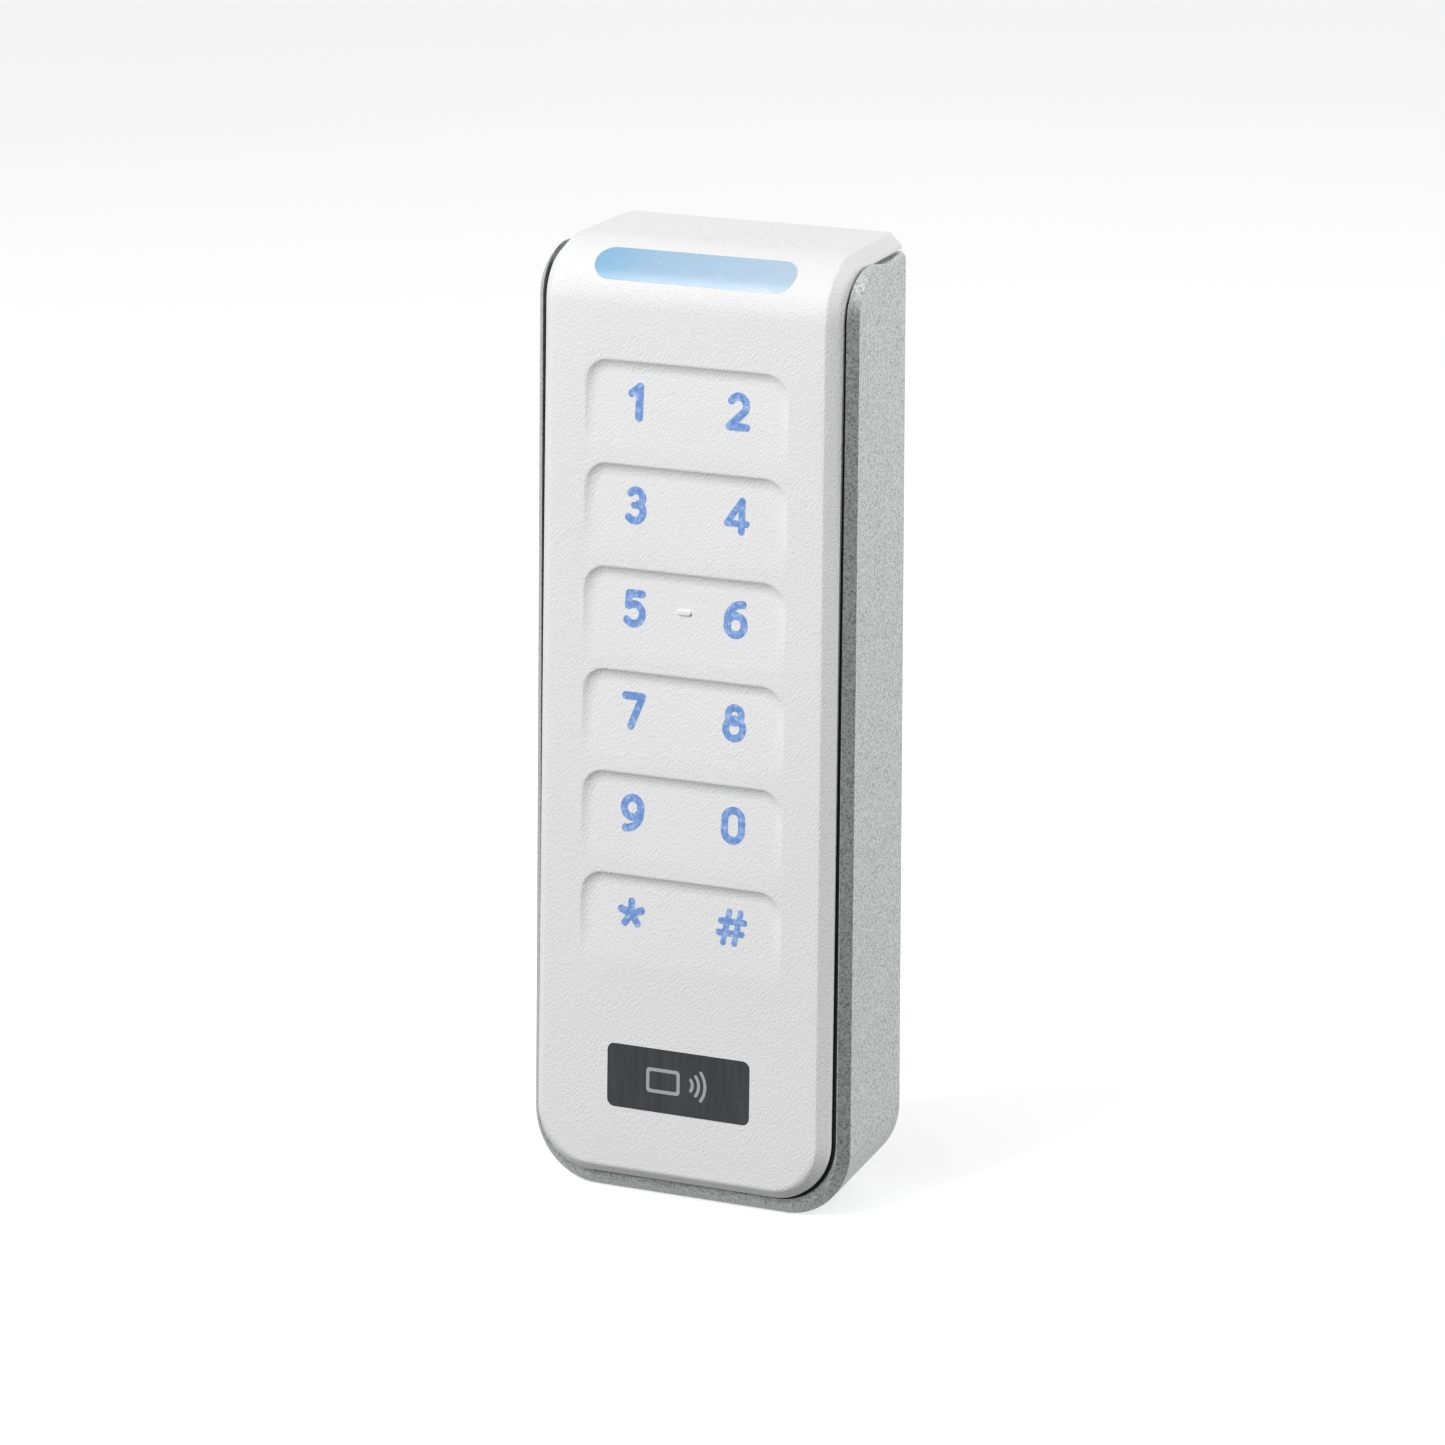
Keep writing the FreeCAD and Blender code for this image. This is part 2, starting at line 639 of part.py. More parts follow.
def main_board():
    solid = board(BOARD_HALF, BOARD_BOTTOM, BOARD_TOP, BOARD_FRONT_Y, BOARD_BACK_Y)
    for x, z in post_places(POST_Z):
        solid = solid.cut(rod(BOARD_HOLE_R, V(x, 0, z), V(0, -1, 0), 30))
    return solid


def board_screws():
    parts = []
    for x, z in post_places((POST_Z[0], POST_Z[-1])):
        head = rod(POST_R, V(x, BOARD_FRONT_Y, z), V(0, -1, 0), 1.2)
        shank = rod(BOARD_HOLE_R, V(x, BOARD_FRONT_Y, z), V(0, 1, 0), BOARD_T)
        slot = block(x - 1.3, x + 1.3, BOARD_FRONT_Y - 1.3, BOARD_FRONT_Y - 0.6, z - 0.25, z + 0.25)
        parts.append(head.fuse(shank).cut(slot))
    return Part.makeCompound(parts)


def on_front(x, z, width, height, thick, radius=0.0):
    y0 = BOARD_FRONT_Y - thick
    if radius > 0:
        return rod(radius, V(x, BOARD_FRONT_Y, z), V(0, -1, 0), thick)
    return block(x - width / 2, x + width / 2, y0, BOARD_FRONT_Y, z - height / 2, z + height / 2)


def on_back(x, z, width, height, thick):
    rear = BOARD_BACK_Y + thick
    return block(x - width / 2, x + width / 2, BOARD_BACK_Y, rear, z - height / 2, z + height / 2)


def chip(x, z, width, height, thick):
    # A square package with legs on two sides, on the board's front.
    body = on_front(x, z, width - 1.2, height, thick)
    pin_mark = V(x - width / 2 + 1.2, BOARD_FRONT_Y - thick - 1, z + height / 2 - 0.7)
    body = body.cut(rod(0.3, pin_mark, V(0, 1, 0), 1.1))
    legs = []
    count = int(height / 1.0)
    for leg in range(count):
        place = z - (count - 1) / 2 + leg
        legs.append(on_front(x, place, width, 0.4, 0.25))
    return join([body] + legs)


def coil(half_w, half_h, width, y, thick, z, turns, pitch):
    # Rectangular printed turns, one inside another, as separate closed loops.
    loops = []
    for turn in range(turns):
        sheets = []
        for shrink, corner in ((turn * pitch, 2.0), (turn * pitch + width, 1.4)):
            w = half_w - shrink
            h = half_h - shrink
            sheets.append(rounded_block(-w, w, y - thick, y, z - h, z + h, corner, V(0, 1, 0)))
        loops.append(sheets[0].cut(sheets[1]))
    return Part.makeCompound(loops)


def header(z):
    # The fixed half of a terminal, open towards the wall, on the board's back.
    half = PLUG_HALF + PLUG_FIT + HEADER_WALL
    tall = PLUG_H / 2 + PLUG_FIT + HEADER_WALL
    rear = BOARD_BACK_Y + 6.6
    shell = block(-half, half, BOARD_BACK_Y, rear, z - tall, z + tall)
    inner_x = PLUG_HALF + PLUG_FIT
    inner_z = PLUG_H / 2 + PLUG_FIT
    return shell.cut(block(-inner_x, inner_x, BOARD_BACK_Y + 1.2, rear + 1, z - inner_z, z + inner_z))


def header_pins(z):
    pins = []
    for way in range(PLUG_WAYS):
        x = (way - (PLUG_WAYS - 1) / 2) * PLUG_PITCH
        pins.append(block(x - 0.35, x + 0.35, BOARD_BACK_Y + 1.2, BOARD_BACK_Y + 4.6, z - 0.35, z + 0.35))
    return Part.makeCompound(pins)


def plug(z):
    # The loose half: pin sockets inside, wire entries towards the wall, clamp screws underneath.
    front = BOARD_BACK_Y + 1.5
    rear = -0.6
    solid = block(-PLUG_HALF, PLUG_HALF, front, rear, z - PLUG_H / 2, z + PLUG_H / 2)
    edges = parallel_edges(solid, V(1, 0, 0), lambda p: p.y > rear - 0.1)
    solid = solid.makeChamfer(0.6, edges)
    for way in range(PLUG_WAYS):
        x = (way - (PLUG_WAYS - 1) / 2) * PLUG_PITCH
        solid = solid.cut(block(x - 0.65, x + 0.65, front - 1, BOARD_BACK_Y + 5.0, z - 0.65, z + 0.65))
        solid = solid.cut(block(x - 1.2, x + 1.2, -4.6, 1, z + 0.2, z + 2.4))
        solid = solid.cut(rod(1.15, V(x, -2.9, z - PLUG_H / 2 - 1), V(0, 0, 1), 3.0))
    return solid


def plug_screws(z):
    screws = []
    for way in range(PLUG_WAYS):
        x = (way - (PLUG_WAYS - 1) / 2) * PLUG_PITCH
        head = rod(1.15, V(x, -2.9, z - PLUG_H / 2 + 0.5), V(0, 0, 1), 1.5)
        slot = block(x - 1.3, x + 1.3, -3.1, -2.7, z - PLUG_H / 2 + 0.3, z - PLUG_H / 2 + 1.1)
        screws.append(head.cut(slot))
    return Part.makeCompound(screws)


def key_leds():
    leds = []
    for row in range(ROWS):
        for side in (-1, 1):
            x = side * COLUMN_X
            z = row_z(row)
            rear = face_y(z) + GUIDE_REAR
            leds.append(block(x - 1.0, x + 1.0, rear - 0.35, rear + 0.02, z - 0.6, z + 0.6))
    slab = face_slab(GUIDE_REAR - 0.25, GUIDE_REAR)
    return Part.makeCompound([led.common(slab) for led in leds])


def layer(half, z0, z1, front, rear, radius):
    # A sheet that lies parallel to the sloping front face.
    sheet = rounded_block(-half, half, -40, 0, z0, z1, radius, V(0, 1, 0))
    return sheet.common(face_slab(front, rear))


def light_guide():
    sheet = layer(17.4, -33.0, 47.0, COVER_WALL, GUIDE_REAR, 2.0)
    for row in range(ROWS):
        for side in (-1, 1):
            x = side * COLUMN_X
            z = row_z(row)
            sheet = sheet.cut(block(x - 1.1, x + 1.1, face_y(z) + GUIDE_REAR - 0.3, 0, z - 0.7, z + 0.7))
    return sheet


def sounder():
    body = on_front(9.5, -36.0, 0, 0, 2.6, radius=4.6)
    body = body.cut(rod(1.0, V(9.5, BOARD_FRONT_Y - 4, -36.0), V(0, 1, 0), 2.4))
    return body


def ferrite_and_winding():
    start = V(-13.0, BOARD_FRONT_Y - 1.7, -43.5)
    along = V(1, 0, 0)
    rod_core = rod(1.6, start, along, 14.0)
    winding = rod(1.69, start + V(3.0, 0, 0), along, 8.0)
    return rod_core, winding.cut(rod_core)


def status_leds():
    leds = []
    for x in (-8.0, 0.0, 8.0):
        leds.append(on_front(x, 49.0, 1.6, 1.2, 0.7))
    return Part.makeCompound(leds)


def cover_gasket():
    # A soft ring between the cover's skirt end and the housing's inner shelf.
    y0 = SKIRT_REAR_Y
    y1 = SKIRT_REAR_Y + 0.8
    bottom = COVER_BOTTOM + (COVER_HALF - SKIRT_HALF)
    ring = front_prism(19.8, bottom + 0.2, 53.0, 6.6, y0, y1)
    hole = front_prism(18.8, bottom + 1.2, 60.0, 5.6, y0 - 1, y1 + 1)
    return ring.cut(hole)


# Parts on the front of the main board: x, z, width, height, thickness.
FRONT_BLOCKS = {
    "shield_can": (-8.0, 14.0, 10.0, 12.0, 1.1),
    "crystal": (11.6, 14.0, 2.4, 4.6, 0.9),
    "power_coil": (-9.0, -18.0, 6.0, 6.0, 2.2),
    "board_connector": (0.0, -8.0, 16.0, 2.6, 1.5),
}
CHIPS = {
    "microcontroller": (6.0, 14.0, 8.0, 7.0, 1.0),
    "radio_chip": (6.0, 27.0, 6.2, 5.0, 0.9),
    "memory_chip": (-7.0, 29.0, 6.0, 4.0, 0.9),
}
CAPACITORS = {"capacitor_left": -1.5, "capacitor_right": 4.0}

# ---- write every sub-part ----
cover_family()
save("rear_housing", rear_housing())
save("cover_gasket", cover_gasket())
save("edge_seal", edge_seal())
save("mounting_plate", mounting_plate())
save("security_screw", security_screw())
save("keypad_light_guide", light_guide())
save("keypad_leds", key_leds())
save("keypad_sensor_board", layer(17.8, -40.0, 48.0, GUIDE_REAR, SENSOR_REAR, 2.0))
save("main_board", main_board())
save("board_screws", board_screws())
save("status_leds", status_leds())
save("hf_antenna", coil(16.4, 18.4, 0.5, BOARD_FRONT_Y, 0.12, 22.0, 4, 0.9))
for name, sizes in FRONT_BLOCKS.items():
    save(name, on_front(*sizes))
for name, sizes in CHIPS.items():
    save(name, chip(*sizes))
for name, x in CAPACITORS.items():
    save(name, on_front(x, -18.0, 0, 0, 2.4, radius=2.2))
save("sounder", sounder())
core, winding = ferrite_and_winding()
save("lf_ferrite_rod", core)
save("lf_winding", winding)
save("tamper_sensor", on_back(12.4, 24.0, 3.6, 5.0, 3.0))
save("relay", on_back(-7.0, 24.0, 9.0, 12.0, 4.6))
for label, z in (("upper", PLUG_Z[0]), ("lower", PLUG_Z[1])):
    save("header_" + label, header(z))
    save("header_pins_" + label, header_pins(z))
    save("plug_" + label, plug(z))
    save("plug_screws_" + label, plug_screws(z))
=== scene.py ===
import json
import math

import bmesh
import bpy
from mathutils import Matrix, Vector


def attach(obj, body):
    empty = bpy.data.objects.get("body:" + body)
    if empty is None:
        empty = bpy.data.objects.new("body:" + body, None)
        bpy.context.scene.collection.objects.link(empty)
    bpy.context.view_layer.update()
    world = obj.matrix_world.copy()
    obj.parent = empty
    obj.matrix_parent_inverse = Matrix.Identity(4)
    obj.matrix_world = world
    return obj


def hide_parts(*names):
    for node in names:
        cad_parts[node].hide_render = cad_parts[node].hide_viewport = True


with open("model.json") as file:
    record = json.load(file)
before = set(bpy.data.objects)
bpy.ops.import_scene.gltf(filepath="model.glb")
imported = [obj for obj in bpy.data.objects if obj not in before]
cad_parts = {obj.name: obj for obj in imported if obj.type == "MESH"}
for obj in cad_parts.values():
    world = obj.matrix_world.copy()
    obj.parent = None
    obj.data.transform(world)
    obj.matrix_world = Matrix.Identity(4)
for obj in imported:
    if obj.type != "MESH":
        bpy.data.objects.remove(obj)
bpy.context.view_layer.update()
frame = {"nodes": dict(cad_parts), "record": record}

MM = 0.001
# half the light bar's width in metres, as its material is in object space
LENS_HALF = 0.014

# ---- sizes shared with the part, in millimetres ----
HALF = 60.75
DEPTH = 21.5
FACE_SLOPE = 0.022
FACE_TOP_Y = DEPTH - FACE_SLOPE * (2 * HALF - 4.0)
COVER_HALF = 20.79
COVER_HALF_REAR = 19.95
COVER_BOTTOM = -HALF + 2.6
COVER_CORNER = 7.7
ROLL = 8.2
TOP_SLOPE = math.tan(math.radians(5.5))
TOP_WALL_Z = HALF + 0.2
LIP_REAR_Y = -0.75
SIDE_DEPTH = 1.9
CHAMFER_TOP = 1.6
CHAMFER_BOTTOM = 1.15
CHAMFER_TOP_Z = 45.0
EDGE_SOFT = 0.14
SKIN_DROP = 0.03
SKIN_WALL = 1.1

TOP_ROW_Z = 40.25
ROW_PITCH = 12.91
ROWS = 6
POCKET_HALF = 14.25
POCKET_ABOVE = 5.1
POCKET_BELOW = 6.2
POCKET_DEPTH = 0.7
POCKET_CORNER = 3.2
POCKET_EDGE = 1.7
POCKET_MARGIN = 0.2
SCOOP_RIM = 0.12
SCOOP_POWER = 2.2

# the raised dash between the third row's keys
DASH_ROW = 2
DASH_ABOVE_ROW = 0.15
DASH_HALF = 0.64
DASH_RADIUS = 0.38
DASH_HEIGHT = 0.3
DASH_EDGE = 0.16

BADGE_HALF_W = 10.15
BADGE_Z = -45.1
BADGE_HALF_H = 4.1
BADGE_CORNER = 1.0
CUTTER_FRONT_Y = -26.0
CUTTER_REAR_Y = -17.0

# the cover narrows from this depth to its rear edge
TAPER_DEPTH = 17.0

# how finely the skin is divided
CORNER_STEPS = 28
ROLL_STEPS = 26
TOP_STEPS = 8
ROW_STEP = 1.0
ROW_STEP_TOP = 0.8
ROW_STEP_FINE = 0.15
ROW_STEP_DASH = 0.07
POCKET_BEND = 1.9
DASH_ZONE_BELOW = 0.5
DASH_ZONE_ABOVE = 0.8
DASH_ZONE_SIDE = 1.3
COLUMN_STEP_DASH = 0.1
COLUMN_STEP_INNER = 1.0
COLUMN_STEP_POCKET = 0.16
COLUMN_STEP_OUTER = 0.7
COLUMN_STEP_EDGE = 0.35
POCKET_SIDE = 4.0
WELD_DISTANCE = 1e-7
SHARP_ANGLE = math.radians(38)


# ---- node material helpers ----
class Nodes:
    """Builds one material's node tree in object space, in metres."""

    def __init__(self, name):
        self.material = bpy.data.materials.new(name)
        self.material.use_nodes = True
        self.tree = self.material.node_tree
        self.shader = self.tree.nodes["Principled BSDF"]
        self.place = self.tree.nodes.new("ShaderNodeTexCoord").outputs["Object"]

    def link(self, source, target):
        self.tree.links.new(source, target)

    def value(self, socket, number):
        self.shader.inputs[socket].default_value = number

    def mapped(self, scale=(1, 1, 1), turn=(0, 0, 0), source=None):
        node = self.tree.nodes.new("ShaderNodeMapping")
        node.inputs["Scale"].default_value = scale
        node.inputs["Rotation"].default_value = turn
        self.link(source or self.place, node.inputs["Vector"])
        return node.outputs["Vector"]

    def noise(self, scale, detail=3.0, rough=0.55, vector=None):
        node = self.tree.nodes.new("ShaderNodeTexNoise")
        node.inputs["Scale"].default_value = scale
        node.inputs["Detail"].default_value = detail
        node.inputs["Roughness"].default_value = rough
        self.link(vector or self.place, node.inputs["Vector"])
        return node.outputs["Fac"]

    def cells(self, scale, vector=None):
        node = self.tree.nodes.new("ShaderNodeTexVoronoi")
        node.inputs["Scale"].default_value = scale
        self.link(vector or self.place, node.inputs["Vector"])
        return node.outputs["Distance"]

    def waves(self, scale, distortion, direction):
        node = self.tree.nodes.new("ShaderNodeTexWave")
        node.bands_direction = direction
        node.inputs["Scale"].default_value = scale
        node.inputs["Distortion"].default_value = distortion
        self.link(self.place, node.inputs["Vector"])
        return node.outputs["Fac"]

    def math(self, operation, a, b=0.0, clamp=False):
        node = self.tree.nodes.new("ShaderNodeMath")
        node.operation = operation
        node.use_clamp = clamp
        for index, item in enumerate((a, b)):
            if isinstance(item, (int, float)):
                node.inputs[index].default_value = item
            else:
                self.link(item, node.inputs[index])
        return node.outputs["Value"]

    def ramp(self, factor, stops):
        node = self.tree.nodes.new("ShaderNodeValToRGB")
        elements = node.color_ramp.elements
        while len(elements) < len(stops):
            elements.new(0.5)
        for element, (where, colour) in zip(elements, stops):
            element.position = where
            element.color = (*colour, 1.0)
        self.link(factor, node.inputs["Fac"])
        return node.outputs["Color"]

    def axis(self, name):
        node = self.tree.nodes.new("ShaderNodeSeparateXYZ")
        self.link(self.place, node.inputs["Vector"])
        return node.outputs[name]

    def stretch(self, source, low, high, to_low=0.0, to_high=1.0):
        node = self.tree.nodes.new("ShaderNodeMapRange")
        node.inputs["From Min"].default_value = low
        node.inputs["From Max"].default_value = high
        node.inputs["To Min"].default_value = to_low
        node.inputs["To Max"].default_value = to_high
        self.link(source, node.inputs["Value"])
        return node.outputs["Result"]

    def bump(self, height, strength, distance):
        node = self.tree.nodes.new("ShaderNodeBump")
        node.inputs["Strength"].default_value = strength
        node.inputs["Distance"].default_value = distance
        self.link(height, node.inputs["Height"])
        previous = self.shader.inputs["Normal"].links
        if previous:
            self.link(previous[0].from_socket, node.inputs["Normal"])
        self.link(node.outputs["Normal"], self.shader.inputs["Normal"])

    def colour(self, source):
        self.link(source, self.shader.inputs["Base Color"])

    def roughness(self, source, low, high):
        self.link(self.stretch(source, 0.3, 0.7, low, high), self.shader.inputs["Roughness"])


def shade(colour, factor):
    return tuple(min(1.0, channel * factor) for channel in colour)


def textured_plastic(name, colour, rough):
    """Moulded plastic: slow tone drift, a fine spark-eroded grain and uneven gloss."""
    nodes = Nodes(name)
    slow = nodes.noise(60.0, 4.0)
    nodes.colour(nodes.ramp(slow, ((0.25, shade(colour, 0.94)), (0.75, shade(colour, 1.06)))))
    fine = nodes.noise(2500.0, 2.0)
    nodes.roughness(nodes.noise(300.0, 3.0), *rough)
    nodes.bump(fine, 0.5, 0.00003)
    return nodes.material


def cover_white():
    """White polycarbonate with a shallow leather-like grain that leans up to the right."""
    nodes = Nodes("cover_white")
    lean = nodes.mapped(turn=(0, math.radians(60), 0))
    long_grain = nodes.mapped(scale=(0.42, 1.0, 1.0), source=lean)
    hide = nodes.noise(5600.0, 2.0, 0.5, long_grain)
    pits = nodes.cells(4200.0, long_grain)
    slow = nodes.noise(35.0, 3.0)
    base = (0.855, 0.86, 0.855)
    nodes.colour(nodes.ramp(slow, ((0.3, shade(base, 0.985)), (0.7, shade(base, 1.015)))))
    nodes.roughness(nodes.noise(900.0, 2.0), 0.42, 0.56)
    nodes.bump(hide, 0.85, 0.00013)
    nodes.bump(pits, 0.3, 0.00004)
    nodes.value("Specular IOR Level", 0.35)
    return nodes.material


def housing_silver():
    """Silver paint: light metal flake in a satin binder, slightly green."""
    nodes = Nodes("housing_silver")
    flake = nodes.cells(3600.0)
    cloud = nodes.noise(2200.0, 3.0, 0.7)
    light_flake = nodes.math("MULTIPLY", flake, 0.5)
    light_cloud = nodes.math("MULTIPLY", cloud, 0.6)
    mixed = nodes.math("ADD", light_flake, light_cloud)
    base = (0.64, 0.665, 0.66)
    nodes.colour(nodes.ramp(mixed, ((0.34, shade(base, 0.58)), (0.6, shade(base, 1.22)))))
    nodes.value("Metallic", 0.8)
    nodes.roughness(cloud, 0.33, 0.46)
    nodes.bump(cloud, 0.7, 0.00006)
    return nodes.material


def legend_blue():
    """Translucent blue insert, mottled by the light behind it."""
    nodes = Nodes("legend_blue")
    mottle = nodes.noise(1500.0, 4.0, 0.7)
    dark_blue = (0.1, 0.21, 0.52)
    mid_blue = (0.16, 0.29, 0.6)
    pale_blue = (0.36, 0.5, 0.78)
    colour = nodes.ramp(mottle, ((0.34, dark_blue), (0.5, mid_blue), (0.66, pale_blue)))
    nodes.colour(colour)
    nodes.link(colour, nodes.shader.inputs["Emission Color"])
    nodes.value("Emission Strength", 0.18)
    nodes.roughness(nodes.noise(900.0, 2.0), 0.42, 0.56)
    nodes.bump(mottle, 0.3, 0.00002)
    return nodes.material


def light_lens():
    """Frosted light bar: deeper blue at the left, paler to the right."""
    nodes = Nodes("light_lens")
    across = nodes.stretch(nodes.axis("X"), -LENS_HALF, LENS_HALF)
    drift = nodes.math("MULTIPLY", nodes.noise(220.0, 3.0), 0.16)
    factor = nodes.math("ADD", across, nodes.math("SUBTRACT", drift, 0.08), clamp=True)
    stops = (
        (0.0, (0.19, 0.36, 0.52)),
        (0.3, (0.27, 0.4, 0.535)),
        (0.6, (0.31, 0.43, 0.55)),
        (1.0, (0.35, 0.45, 0.56)),
    )
    colour = nodes.ramp(factor, stops)
    nodes.colour(colour)
    nodes.link(colour, nodes.shader.inputs["Emission Color"])
    nodes.value("Emission Strength", 0.35)
    nodes.roughness(nodes.noise(700.0, 2.0), 0.22, 0.34)
    nodes.bump(nodes.noise(1800.0, 2.0), 0.2, 0.00001)
    return nodes.material


def badge_charcoal():
    """Dark inlay with a faint vertical brushed film under a clear face."""
    nodes = Nodes("badge_charcoal")
    brushed = nodes.noise(900.0, 3.0, 0.6, nodes.mapped(scale=(1.0, 1.0, 0.08)))
    nodes.colour(nodes.ramp(brushed, ((0.3, (0.045, 0.046, 0.05)), (0.7, (0.065, 0.066, 0.07)))))
    nodes.roughness(brushed, 0.3, 0.42)
    nodes.bump(nodes.noise(2600.0, 2.0), 0.2, 0.00001)
    return nodes.material


def metal(name, colour, rough=(0.25, 0.4), grain=1200.0, stretch=(1.0, 1.0, 1.0)):
    """Bare or plated metal with directional polishing marks."""
    nodes = Nodes(name)
    marks = nodes.noise(grain, 4.0, 0.65, nodes.mapped(scale=stretch))
    nodes.colour(nodes.ramp(marks, ((0.3, shade(colour, 0.86)), (0.7, shade(colour, 1.08)))))
    nodes.value("Metallic", 1.0)
    nodes.roughness(marks, *rough)
    nodes.bump(marks, 0.25, 0.00002)
    return nodes.material


def board_green():
    """Solder mask over copper tracks: pale lines under a glossy green film."""
    nodes = Nodes("board_green")
    tracks = nodes.waves(260.0, 0.5, "X")
    pads = nodes.cells(420.0)
    both = nodes.math("ADD", nodes.math("MULTIPLY", tracks, 0.7), nodes.math("MULTIPLY", pads, 0.4))
    bare_board = (0.012, 0.085, 0.035)
    over_copper = (0.02, 0.13, 0.05)
    over_edge = (0.04, 0.2, 0.08)
    nodes.colour(nodes.ramp(both, ((0.35, bare_board), (0.5, over_copper), (0.72, over_edge))))
    nodes.roughness(nodes.noise(500.0, 2.0), 0.22, 0.36)
    nodes.bump(tracks, 0.3, 0.00003)
    return nodes.material


def clear_plastic():
    """Clear light guide with a faint haze."""
    nodes = Nodes("clear_plastic")
    haze = nodes.noise(400.0, 3.0)
    nodes.colour(nodes.ramp(haze, ((0.3, (0.86, 0.92, 0.94)), (0.7, (0.94, 0.97, 0.98)))))
    nodes.value("Transmission Weight", 0.85)
    nodes.value("IOR", 1.49)
    nodes.roughness(haze, 0.12, 0.25)
    nodes.bump(haze, 0.15, 0.00002)
    return nodes.material


def led_white():
    """Small lights: pale lens with a yellow phosphor spot."""
    nodes = Nodes("led_white")
    spot = nodes.noise(2500.0, 2.0)
    nodes.colour(nodes.ramp(spot, ((0.35, (0.78, 0.74, 0.45)), (0.65, (0.9, 0.9, 0.84)))))
    nodes.roughness(spot, 0.2, 0.35)
    nodes.bump(spot, 0.2, 0.00001)
    return nodes.material


def plain_plastics():
    """The plain moulded materials, by slot: base colour and roughness range."""
    table = {
        "badge_mark": ((0.42, 0.43, 0.44), (0.4, 0.5)),
        # the seal in the gap round the cover: black rubber, and its near-black also stands in for the shade
        # deep in that gap (painted shade)
        "gasket_rubber": ((0.03, 0.03, 0.032), (0.65, 0.8)),
        "plate_black": ((0.035, 0.036, 0.038), (0.45, 0.6)),
        "chip_black": ((0.025, 0.025, 0.027), (0.4, 0.55)),
        "relay_grey": ((0.2, 0.21, 0.23), (0.35, 0.5)),
        "connector_cream": ((0.62, 0.57, 0.42), (0.35, 0.5)),
        "ferrite": ((0.06, 0.06, 0.066), (0.5, 0.65)),
        "terminal_green": ((0.02, 0.2, 0.075), (0.35, 0.48)),
    }
    return {slot: textured_plastic(slot, colour, rough) for slot, (colour, rough) in table.items()}


MAKERS = (
    cover_white,
    housing_silver,
    legend_blue,
    light_lens,
    badge_charcoal,
    board_green,
    clear_plastic,
    led_white,
)

materials = plain_plastics()
for maker in MAKERS:
    materials[maker.__name__] = maker()
materials["steel_fastener"] = metal("steel_fastener", (0.56, 0.56, 0.57))
materials["copper"] = metal("copper", (0.7, 0.36, 0.2), (0.3, 0.45))
materials["tin_metal"] = metal("tin_metal", (0.68, 0.68, 0.66), (0.3, 0.45))
materials["capacitor_can"] = metal("capacitor_can", (0.72, 0.72, 0.73), (0.2, 0.32), 900.0, (1.0, 0.1, 1.0))

slot_of = {item["node"]: item["material_slot"] for item in frame["record"]["subparts"]}
for node, thing in frame["nodes"].items():
    thing.data.materials.clear()
    thing.data.materials.append(materials[slot_of[node]])


# ---- the front cover's visible skin ----
def face_y(z):
    """The sloping front face's place in depth, at a height."""
    return -(FACE_TOP_Y + FACE_SLOPE * (HALF - z))


def roll_centre():
    """Centre of the roll that joins the sloping face to the sloping top, as (y, z)."""
    corner_y = (face_y(0) + FACE_SLOPE * TOP_WALL_Z) / (1 - FACE_SLOPE * TOP_SLOPE)
    corner_z = TOP_WALL_Z + TOP_SLOPE * corner_y
    lean = math.atan(FACE_SLOPE)
    half_open = (math.pi / 2 + lean + math.atan(TOP_SLOPE)) / 2
    aim = half_open - math.pi / 2 - lean
    reach = ROLL / math.sin(half_open)
    return corner_y + reach * math.cos(aim), corner_z + reach * math.sin(aim)


def clamp(t):
    return max(0.0, min(1.0, t))


def smooth(t):
    t = clamp(t)
    return t * t * (3 - 2 * t)


def scoop(t):
    """A wall that drops steeply at its rim and flattens into the floor."""
    t = clamp(t)
    rim = smooth(t / SCOOP_RIM)
    return (1 - (1 - t) ** SCOOP_POWER) * rim


def chamfer_size(z):
    """The chamfer grows from the bottom of the cover to its top."""
    along = clamp((z - COVER_BOTTOM) / (CHAMFER_TOP_Z - COVER_BOTTOM))
    return CHAMFER_BOTTOM + (CHAMFER_TOP - CHAMFER_BOTTOM) * along


def chamfer_depth(distance, z):
    """How far the surface lies behind the face, at a distance in from the outline."""
    over = chamfer_size(z) - distance
    if over <= -EDGE_SOFT:
        return 0.0
    if over >= EDGE_SOFT:
        return over
    return (over + EDGE_SOFT) ** 2 / (4 * EDGE_SOFT)


def pocket_depth(x, z):
    """Depth of the six scoops: full just under the top edge, nothing at the bottom."""
    for row in range(ROWS):
        centre = TOP_ROW_Z - ROW_PITCH * row
        top = centre + POCKET_ABOVE
        bottom = centre - POCKET_BELOW
        if not bottom < z < top + POCKET_MARGIN:
            continue
        across = abs(x) - (POCKET_HALF - POCKET_CORNER)
        up = z - (top - POCKET_CORNER)
        if across > 0 and up > 0:
            inside = POCKET_CORNER - math.hypot(across, up)
        else:
            inside = POCKET_CORNER - max(across, up)
        slope = POCKET_DEPTH * (z - bottom) / (top - bottom)
        return slope * scoop(inside / POCKET_EDGE)
    return 0.0


def dash_height(x, z):
    """The raised locating dash between the third row's keys."""
    centre = TOP_ROW_Z - DASH_ROW * ROW_PITCH + DASH_ABOVE_ROW
    along = max(0.0, abs(x) - DASH_HALF)
    inside = DASH_RADIUS - math.hypot(along, z - centre)
    return DASH_HEIGHT * smooth(inside / DASH_EDGE)


def outline_half(z):
    """Half width of the cover's outline, narrowing round its bottom corners."""
    up = z - COVER_BOTTOM
    if up >= COVER_CORNER:
        return COVER_HALF
    reach = math.sqrt(max(0.0, COVER_CORNER ** 2 - (COVER_CORNER - up) ** 2))
    return COVER_HALF - COVER_CORNER + reach


